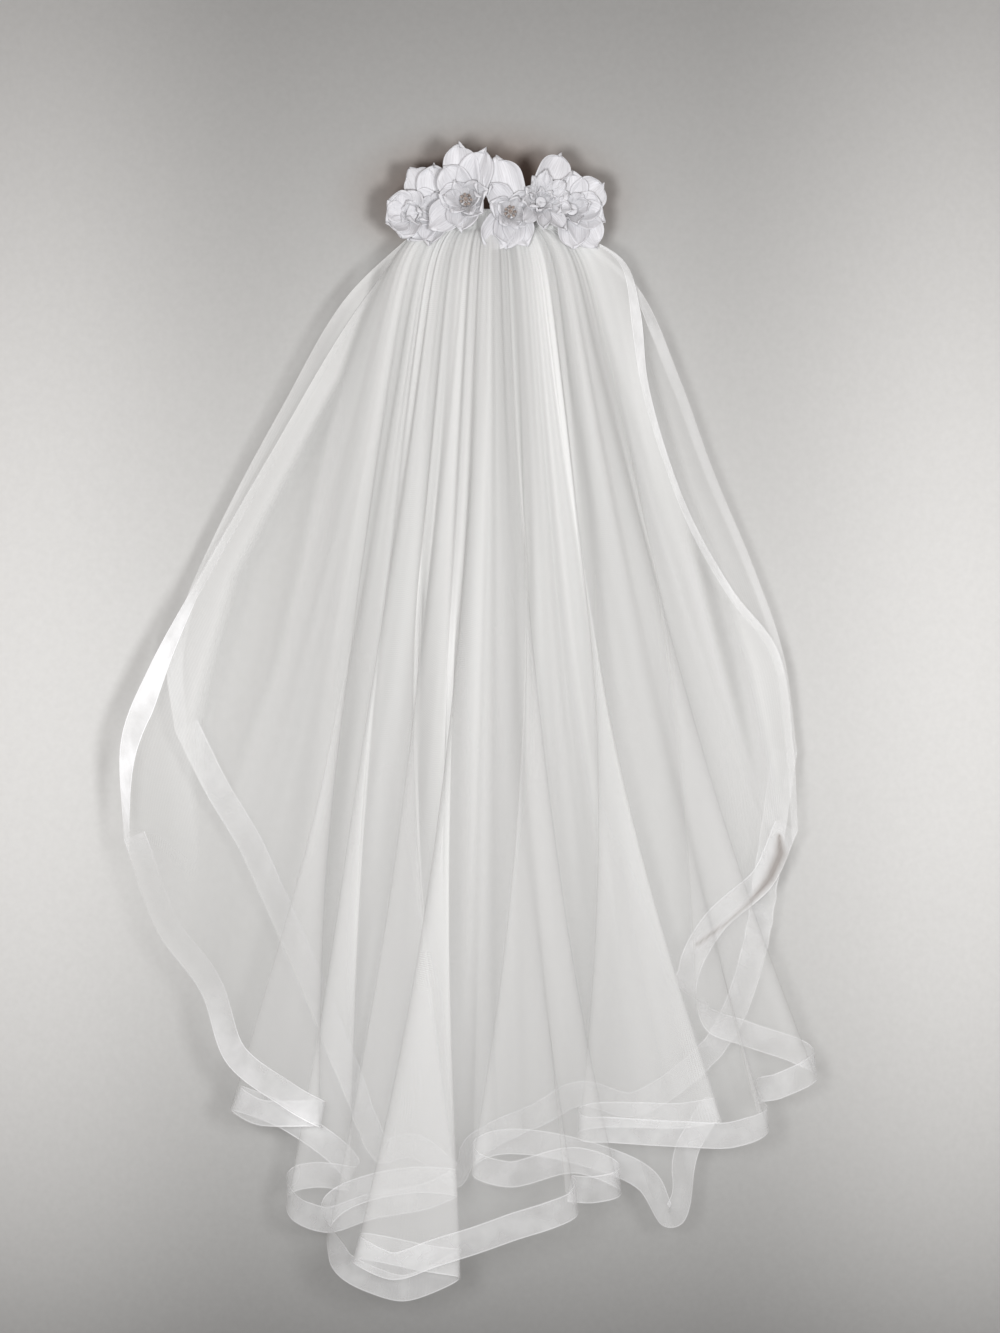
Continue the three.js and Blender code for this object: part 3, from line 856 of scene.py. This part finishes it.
# %% [markdown]
# A material is a small network of nodes. A few short helpers keep each one readable:
# add a node with its inputs, calculate a value, carry it to another range, or mix two of them.

# %% Node helpers
def add_node(tree, kind, settings=None, **inputs):
    """Adds a node, sets its own options from settings and its sockets from inputs.

    i0, i1 and so on name a socket by its number. An output given as a value is joined to the socket.
    """
    node = tree.nodes.new(kind)
    for option, value in (settings or {}).items():
        setattr(node, option, value)
    for socket, value in inputs.items():
        numbered = socket[0] == "i" and socket[1:].isdigit()
        target = node.inputs[int(socket[1:]) if numbered else socket.replace("_", " ")]
        if isinstance(value, bpy.types.NodeSocket):
            tree.links.new(value, target)
        else:
            target.default_value = value
    return node


def calculate(tree, operation, *values, clamp=False):
    """The result of a sum or product of values, which may be outputs of other nodes."""
    sockets = {f"i{k}": value for k, value in enumerate(values)}
    settings = {"operation": operation, "use_clamp": clamp}
    return add_node(tree, "ShaderNodeMath", settings, **sockets).outputs[0]


def map_range(tree, value, low, high, to_low, to_high, interpolation="LINEAR"):
    """The value, carried so that low becomes to_low and high becomes to_high."""
    settings = {"interpolation_type": interpolation}
    sockets = {"i0": value, "i1": low, "i2": high, "i3": to_low, "i4": to_high}
    return add_node(tree, "ShaderNodeMapRange", settings, **sockets).outputs[0]


def mix_colours(tree, share, first, second, blend="MIX"):
    """The first colour where share is 0. Where it is 1, the second, or both blended as named."""
    settings = {"data_type": "RGBA", "blend_type": blend}
    return add_node(tree, "ShaderNodeMix", settings, i0=share, i6=first, i7=second).outputs[2]


def mix_values(tree, share, first, second):
    """The first value where share is 0 and the second where it is 1."""
    return add_node(tree, "ShaderNodeMix", {"data_type": "FLOAT"}, i0=share, i2=first, i3=second).outputs[0]


def mix_shaders(tree, share, first, second):
    """The first shader where share is 0 and the second where it is 1."""
    return add_node(tree, "ShaderNodeMixShader", None, i0=share, i1=first, i2=second).outputs[0]


def noise_2d(tree, vector, scale, detail, roughness=0.5):
    """Soft random clouds over the UV map, between 0 and 1."""
    settings = {"noise_dimensions": "2D"}
    sockets = {"Vector": vector, "Scale": scale, "Detail": detail, "Roughness": roughness}
    return add_node(tree, "ShaderNodeTexNoise", settings, **sockets).outputs[0]


def attribute(tree, name):
    """The value that a mesh holds under this name at each point."""
    return add_node(tree, "ShaderNodeAttribute", {"attribute_name": name}).outputs["Fac"]


def new_material(name, **inputs):
    """A material with one Principled BSDF, which stays in the material, with its plain sockets set."""
    material = bpy.data.materials.new(name)
    material.use_nodes = True
    tree = material.node_tree
    shader = tree.nodes["Principled BSDF"]
    for socket, value in inputs.items():
        shader.inputs[socket.replace("_", " ")].default_value = value
    return material, tree, shader


def add_bump(tree, shader, height, strength, distance):
    """Lets a height tilt the surface. The distance is in metres."""
    bump = add_node(tree, "ShaderNodeBump", None, Strength=strength, Distance=distance, Height=height)
    tree.links.new(bump.outputs[0], shader.inputs["Normal"])


# %% [markdown]
# Two effects are shared. Streaks run down the threads, where fine pleats pile up cloth unevenly.
# The net is a web of tiny cells, a little over a millimetre across, seen only from close by.

# %% Shared effects: streaks and net
def make_group(name, sockets_in, sockets_out):
    """An empty node group with its sockets named, and its input and output nodes."""
    group = bpy.data.node_groups.new(name, "ShaderNodeTree")
    for label, kind, value in sockets_in:
        socket = group.interface.new_socket(label, in_out="INPUT", socket_type=kind)
        if value is not None:
            socket.default_value = value
    for label, kind in sockets_out:
        group.interface.new_socket(label, in_out="OUTPUT", socket_type=kind)
    return group, group.nodes.new("NodeGroupInput"), group.nodes.new("NodeGroupOutput")


VECTOR = ("Vector", "NodeSocketVector", None)
THREAD_MIDDLE, THREAD_EDGE = 0.04, 0.16

streaks, start, finish = make_group(
    "thread_streaks",
    [VECTOR, ("Per metre", "NodeSocketFloat", 60.0), ("Stretch", "NodeSocketFloat", 0.03)],
    [("Mask", "NodeSocketFloat")],
)
split = add_node(streaks, "ShaderNodeSeparateXYZ", i0=start.outputs["Vector"])
down = calculate(streaks, "MULTIPLY", split.outputs["Y"], start.outputs["Stretch"])
line = add_node(streaks, "ShaderNodeCombineXYZ", i0=split.outputs["X"], i1=down)
noise = noise_2d(streaks, line.outputs[0], start.outputs["Per metre"], 2.0, 0.45)
streaks.links.new(noise, finish.inputs["Mask"])

net, start, finish = make_group(
    "net_cells", [VECTOR, ("Per metre", "NodeSocketFloat", 850.0)], [("Thread", "NodeSocketFloat")],
)
cells = add_node(
    net, "ShaderNodeTexVoronoi", {"feature": "DISTANCE_TO_EDGE", "voronoi_dimensions": "2D"},
    Vector=start.outputs["Vector"], Scale=start.outputs["Per metre"], Randomness=0.25,
)
thread = map_range(net, cells.outputs["Distance"], THREAD_MIDDLE, THREAD_EDGE, 1.0, 0.0)
net.links.new(thread, finish.inputs["Thread"])
print("node groups:", [group.name for group in bpy.data.node_groups])


# %% [markdown]
# Thin cloth throws back part of the light and passes part of it on, so both of its faces look lit.
# A net's shadow is much paler than its look, because light slips through its cells or scatters on.

# %% Thin cloth
def thin_cloth(tree, shader, alpha, glow_cover, through, let_past):
    """Mixes the Principled shader with light from behind, and lets let_past of every shadow ray go by.

    through is the share of the light that comes from behind, over the cover glow_cover.
    """
    tree.links.new(alpha, shader.inputs["Alpha"])
    clear = add_node(tree, "ShaderNodeBsdfTransparent").outputs[0]
    white = shader.inputs["Base Color"].default_value[:]
    glow = add_node(tree, "ShaderNodeBsdfTranslucent", None, Color=white).outputs[0]
    veil = mix_shaders(tree, glow_cover, clear, glow)
    cloth = mix_shaders(tree, through, shader.outputs[0], veil)
    path = add_node(tree, "ShaderNodeLightPath")
    passed = calculate(tree, "MULTIPLY", path.outputs["Is Shadow Ray"], let_past)
    mix = mix_shaders(tree, passed, cloth, clear)
    tree.links.new(mix, tree.nodes["Material Output"].inputs["Surface"])


# %% [markdown]
# Tulle: white nylon net, matt, with a little sheen. What shows is how much of it lies together.
# The cover attribute gives the broad density, the streaks break it up, and the net adds its cells.

# %% Tulle
NOISE_RANGE = (0.3, 0.7)
NET_CHANGE = (0.94, 1.12)
TULLE_WHITE = (0.90, 0.90, 0.89, 1)
TULLE_THROUGH, TULLE_LET_PAST = 0.4, 0.35


def tulle_material(name, per_metre, strength):
    """Net with so many streaks per metre, which change its cover up and down by strength."""
    material, tree, shader = new_material(
        name, Roughness=0.9, Sheen_Weight=0.1, Sheen_Roughness=0.5, Base_Color=TULLE_WHITE,
    )
    place = add_node(tree, "ShaderNodeUVMap", {"uv_map": "cloth"}).outputs[0]
    cover = attribute(tree, "cover")
    broad = add_node(tree, "ShaderNodeGroup", {"node_tree": streaks}, Vector=place, Per_metre=per_metre)
    mesh = add_node(tree, "ShaderNodeGroup", {"node_tree": net}, Vector=place)
    spread = map_range(tree, broad.outputs[0], *NOISE_RANGE, 1 - strength, 1 + strength)
    fine = map_range(tree, mesh.outputs[0], 0.0, 1.0, *NET_CHANGE)
    alpha = calculate(tree, "MULTIPLY", calculate(tree, "MULTIPLY", cover, spread), fine, clamp=True)
    add_bump(tree, shader, mesh.outputs[0], 0.25, 0.0003)
    thin_cloth(tree, shader, alpha, cover, TULLE_THROUGH, TULLE_LET_PAST)
    return material


long_tulle.data.materials.append(tulle_material("front tulle", 14.0, 0.55))
short_tulle.data.materials.append(tulle_material("rear tulle", 19.0, 0.5))


# %% [markdown]
# The ribbon is sheer nylon with a firm woven edge on both sides, so its edges draw two bright lines.
# Fine ribs cross it, about 2 mm apart. A dark brown line of painted shadow runs along it near the hem's right
# corner; it is a colour, not an opening.

# %% Ribbon
WOVEN_EDGE = (0.44, 0.49)
EDGE_COVER, MIDDLE_COVER = 0.55, (0.16, 0.34)
RIBBON_WHITE = (0.95, 0.95, 0.95, 1)
# The brown is painted shadow, in a line along the ribbon.
UNSHADED_RIBBON_WHITE, SLIT_SHADOW_BROWN = (0.95, 0.95, 0.96, 1), (0.22, 0.19, 0.17, 1)
RIBBON_THROUGH, RIBBON_LET_PAST = 0.35, 0.5


def ribbon_material():
    """Ribbon that is firmer in its woven edges, as solid as the catch mark says, and solid and painted dark
    brown along the line of painted shadow.
    """
    material, tree, shader = new_material(
        "sheer ribbon", Roughness=0.5, Sheen_Weight=0.3, Base_Color=RIBBON_WHITE,
    )
    place = add_node(tree, "ShaderNodeUVMap", {"uv_map": "cloth"}).outputs[0]
    split = add_node(tree, "ShaderNodeSeparateXYZ", None, i0=place)
    centred = calculate(tree, "SUBTRACT", split.outputs["Y"], 0.5)
    edge = map_range(tree, calculate(tree, "ABSOLUTE", centred), *WOVEN_EDGE, 0.0, 1.0)
    metres = add_node(tree, "ShaderNodeMapping", None, Vector=place, Scale=(1, RIBBON_WIDTH * MM, 1))
    cloud = noise_2d(tree, metres.outputs[0], 45.0, 2.0)
    middle = map_range(tree, cloud, *NOISE_RANGE, *MIDDLE_COVER)
    firm = mix_values(tree, edge, middle, EDGE_COVER)
    # Painted shadow: along its line the ribbon is painted brown, made solid and loses its glow.
    slit = attribute(tree, "slit")
    alpha = calculate(tree, "MULTIPLY_ADD", firm, attribute(tree, "catch"), slit, clamp=True)
    tint = mix_colours(tree, slit, UNSHADED_RIBBON_WHITE, SLIT_SHADOW_BROWN)
    tree.links.new(tint, shader.inputs["Base Color"])
    ribs = add_node(
        tree, "ShaderNodeTexWave", {"bands_direction": "X"}, Vector=metres.outputs[0], Scale=160.0,
    )
    add_bump(tree, shader, ribs.outputs["Fac"], 0.2, 0.0001)
    glow_cover = calculate(tree, "SUBTRACT", alpha, slit, clamp=True)
    thin_cloth(tree, shader, alpha, glow_cover, RIBBON_THROUGH, RIBBON_LET_PAST)
    return material


sheer_ribbon = ribbon_material()
long_ribbon.data.materials.append(sheer_ribbon)
short_ribbon.data.materials.append(sheer_ribbon)
print("ribbon:", sheer_ribbon.name)


# %% [markdown]
# The petals are white organza, finer and stiffer than the tulle, with a low gloss.
# Veins fan out from the root, and the sealed rim is a little more solid than the middle.

# %% Petals
VEIN_STRETCH = (7.0, 1.2, 1.0)
PETAL_COVER, RIM_COVER = (0.72, 0.92), 0.97
PETAL_WHITE = (0.92, 0.915, 0.94, 1)
PETAL_THROUGH, PETAL_LET_PAST = 0.4, 0.12


def petal_material():
    """Organza that is clouded along its veins and nearly solid at the rim."""
    material, tree, shader = new_material(
        "organza petals", Roughness=0.45, Sheen_Weight=0.2, Base_Color=PETAL_WHITE,
    )
    place = add_node(tree, "ShaderNodeUVMap", {"uv_map": "cloth"}).outputs[0]
    stretched = add_node(tree, "ShaderNodeMapping", None, Vector=place, Scale=VEIN_STRETCH)
    veins = noise_2d(tree, stretched.outputs[0], 1.6, 4.0)
    cloud = map_range(tree, veins, *NOISE_RANGE, *PETAL_COVER)
    alpha = mix_values(tree, attribute(tree, "rim"), cloud, RIM_COVER)
    add_bump(tree, shader, veins, 0.5, 0.0006)
    thin_cloth(tree, shader, alpha, alpha, PETAL_THROUGH, PETAL_LET_PAST)
    return material


organza = petal_material()
for flower in flowers.values():
    flower.data.materials.append(organza)
print("petals:", organza.name)

# %% [markdown]
# The stones are foiled glass, so they mirror the light from their backs and look grey-brown, with painted
# glints: light specks that darken between them.
# The comb is clear moulded plastic with a slightly wavy surface.

# %% Stones and comb
FOIL_GLINT_LIGHT, FOIL_GLINT_DARK = (0.72, 0.66, 0.62, 1), (0.3, 0.26, 0.24, 1)
PLASTIC_TINT = (0.9, 0.92, 0.93, 1)

foiled, tree, shader = new_material("foiled glass", Metallic=0.65, Roughness=0.12, Coat_Weight=0.6)
place = add_node(tree, "ShaderNodeTexCoord").outputs["Object"]
# Painted glints: light specks on the grey-brown foil, darker between them.
painted_glints = add_node(tree, "ShaderNodeTexVoronoi", None, Vector=place, Scale=700.0)
tint = mix_colours(tree, painted_glints.outputs["Distance"], FOIL_GLINT_LIGHT, FOIL_GLINT_DARK)
tree.links.new(tint, shader.inputs["Base Color"])
for cluster in clusters.values():
    cluster.data.materials.append(foiled)

clear, tree, shader = new_material(
    "clear comb plastic", Base_Color=PLASTIC_TINT, Roughness=0.12, Transmission_Weight=0.75, IOR=1.49,
)
place = add_node(tree, "ShaderNodeTexCoord").outputs["Object"]
waves = add_node(tree, "ShaderNodeTexNoise", None, Vector=place, Scale=90.0, Detail=2.0)
add_bump(tree, shader, waves.outputs[0], 0.2, 0.0004)
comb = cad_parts["hair_comb"]
comb.data.materials.clear()
comb.data.materials.append(clear)
print("stones and comb:", foiled.name, "and", clear.name)

# %% [markdown]
# The wall stands close behind the cloth, as in the photograph, so that the veil throws soft shadows on it.
# It curves into a floor well below the hem.

# %% Wall and floor in one sweep
WALL_Y, WALL_HALF, WALL_COLUMNS = 0.055, 1.8, 5
WALL_LEVELS = (-0.6, 0.0, 1.0)
FLOOR_Z, FLOOR_FRONT_Y, COVE = -1.15, -2.6, 0.28

turn = np.linspace(0, math.pi / 2, 13)
profile = np.vstack([
    [[FLOOR_FRONT_Y, FLOOR_Z]],
    np.stack([WALL_Y - COVE + COVE * np.sin(turn), FLOOR_Z + COVE - COVE * np.cos(turn)], 1),
    [[WALL_Y, level] for level in WALL_LEVELS],
])
across = np.linspace(-WALL_HALF, WALL_HALF, WALL_COLUMNS)
sweep = np.stack(np.broadcast_arrays(across[None], profile[:, :1], profile[:, 1:]), -1)
wall_quads = grid_quads(len(profile), WALL_COLUMNS)[:, ::-1]
backdrop = link_mesh("backdrop", sweep.reshape(-1, 3) / MM, wall_quads)
print("wall faces:", len(wall_quads))

# %% [markdown]
# The paint holds painted light and shade: painted light makes the wall brightest at mid-height, and painted
# shadow darkens it behind the veil. A warm brown halo of painted shadow lies behind the flowers.
# Seen from behind, the wall's faces are clear, so every side can be viewed.

# %% Painted light and shadow on the wall
PAINT_DARK, PAINT_LIGHT = (0.62, 0.615, 0.60, 1), (0.68, 0.675, 0.66, 1)
# Painted light: how bright the wall is painted over its height, brightest at mid-height.
PAINTED_LIGHT_FOOT_Z, PAINTED_LIGHT_TOP_Z = -0.75, 0.15
PAINTED_LIGHT_FOOT, PAINTED_LIGHT_BRIGHTEST, PAINTED_LIGHT_TOP = (0.0, 0.48), (0.45, 1.0), (1.0, 0.70)
# Painted shadow of the veil: the wall is painted darker near the middle.
VEIL_SHADOW_REACH, VEIL_SHADOW_TONES = (0.14, 0.34), (0.74, 1.06)
# Painted shadow of the flowers: a warm brown oval on the wall round them.
FLOWER_SHADOW_SHIFT, FLOWER_SHADOW_SCALE, FLOWER_SHADOW_REACH = (0.003, 0, -0.045), (1, 0, 1.9), (0.02, 0.115)
FLOWER_SHADOW_BROWN, NO_TINT = (0.58, 0.43, 0.36, 1), (1, 1, 1, 1)

paint, tree, shader = new_material("pale wall", Roughness=0.95)
place = add_node(tree, "ShaderNodeTexCoord").outputs["Object"]
speck = add_node(tree, "ShaderNodeTexNoise", None, Vector=place, Scale=260.0, Detail=2.0)
tint = mix_colours(tree, speck.outputs[0], PAINT_DARK, PAINT_LIGHT)

spot = add_node(tree, "ShaderNodeSeparateXYZ", None, i0=place)
# Painted light: the wall is painted brighter at mid-height and darker towards its foot and top.
painted_light_curve = add_node(tree, "ShaderNodeFloatCurve", None)
tree.links.new(map_range(tree, spot.outputs["Z"], PAINTED_LIGHT_FOOT_Z, PAINTED_LIGHT_TOP_Z, 0.0, 1.0), painted_light_curve.inputs["Value"])
curve = painted_light_curve.mapping.curves[0]
curve.points[0].location = PAINTED_LIGHT_FOOT
curve.points[1].location = PAINTED_LIGHT_TOP
curve.points.new(*PAINTED_LIGHT_BRIGHTEST)
painted_light_curve.mapping.update()
# Painted shadow behind the veil, darker towards the middle of the wall.
aside = calculate(tree, "ABSOLUTE", spot.outputs["X"])
middle = map_range(tree, aside, *VEIL_SHADOW_REACH, *VEIL_SHADOW_TONES, "SMOOTHSTEP")
both = calculate(tree, "MULTIPLY", painted_light_curve.outputs[0], middle)
shade = mix_colours(tree, 1.0, tint, both, "MULTIPLY")

# Painted shadow behind the flowers: a brown oval that fades out to the wall's own paint.
oval = add_node(tree, "ShaderNodeMapping", None, Vector=place, Location=FLOWER_SHADOW_SHIFT, Scale=FLOWER_SHADOW_SCALE)
away = add_node(tree, "ShaderNodeVectorMath", {"operation": "LENGTH"}, i0=oval.outputs[0])
painted_flower_shadow = map_range(tree, away.outputs["Value"], *FLOWER_SHADOW_REACH, 0.0, 1.0, "SMOOTHSTEP")
flower_shadow_tint = mix_colours(tree, painted_flower_shadow, FLOWER_SHADOW_BROWN, NO_TINT)
tree.links.new(mix_colours(tree, 1.0, shade, flower_shadow_tint, "MULTIPLY"), shader.inputs["Base Color"])

behind = add_node(tree, "ShaderNodeNewGeometry").outputs["Backfacing"]
glass = add_node(tree, "ShaderNodeBsdfTransparent").outputs[0]
choice = mix_shaders(tree, behind, shader.outputs[0], glass)
tree.links.new(choice, tree.nodes["Material Output"].inputs["Surface"])
backdrop.data.materials.append(paint)
print("wall paint:", paint.name)


# %% [markdown]
# The flowers throw soft lobes of shadow upwards, so two small lamps stand in front and lower than they do,
# one on each side. A wide, weak and warm lamp fills in from behind the camera.

# %% Lamps
LAMP_AIM = (0, 0, -0.30)
LAMPS = {
    # place, width, power in watts, colour
    "lamp_left": ((-0.10, -1.05, -0.30), 0.12, 7.9, (0.98, 0.99, 1)),
    "lamp_right": ((0.19, -1.05, -0.30), 0.12, 7.1, (0.98, 0.99, 1)),
    "lamp_front": ((0.0, -1.6, 0.1), 1.2, 0.9, (1, 0.6, 0.42)),
}
ROOM_COLOUR, ROOM_STRENGTH = (1.0, 0.7, 0.55, 1), 0.06


def area_lamp(name, place, size, power, colour):
    """A round lamp at a place, turned to face LAMP_AIM."""
    data = bpy.data.lights.new(name, "AREA")
    data.shape = "DISK"
    data.size = size
    data.energy = power
    data.color = colour
    lamp = bpy.data.objects.new(name, data)
    x, y, z = np.array(LAMP_AIM) - np.array(place)
    lamp.location = place
    lamp.rotation_euler = (math.atan2(math.hypot(x, y), -z), 0, math.atan2(-x, y))
    bpy.context.collection.objects.link(lamp)


for name, row in LAMPS.items():
    area_lamp(name, *row)

world = bpy.data.worlds.new("room")
world.use_nodes = True
room_light = world.node_tree.nodes["Background"]
room_light.inputs["Color"].default_value = ROOM_COLOUR
room_light.inputs["Strength"].default_value = ROOM_STRENGTH
scene.world = world
print("lamps:", len(LAMPS))

# %% [markdown]
# Last, each piece is listed with the solid it stands for and the name of its finish. It is hung on the root,
# and that solid is hidden. The two tiers' flat sizes and areas are fitted to the net that the finished sheets
# hold.
# A cut as wide as its hem would be about twice that area for the long tier and half as much again for the
# short one, so the sheets hold too little net near the comb.

# %% Hang each piece on the root and hide the solid it stands for
dressed = {
    long_tulle: ("long_tier", "tulle"),
    short_tulle: ("short_tier", "tulle"),
    long_ribbon: ("long_tier_ribbon", "satin_ribbon"),
    short_ribbon: ("short_tier_ribbon", "satin_ribbon"),
    **{piece: (node, "organza_petals") for node, piece in flowers.items()},
    **{piece: (node, "rhinestones") for node, piece in clusters.items()},
}
for piece, (node, slot) in dressed.items():
    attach(piece, "root")
    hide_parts(node)
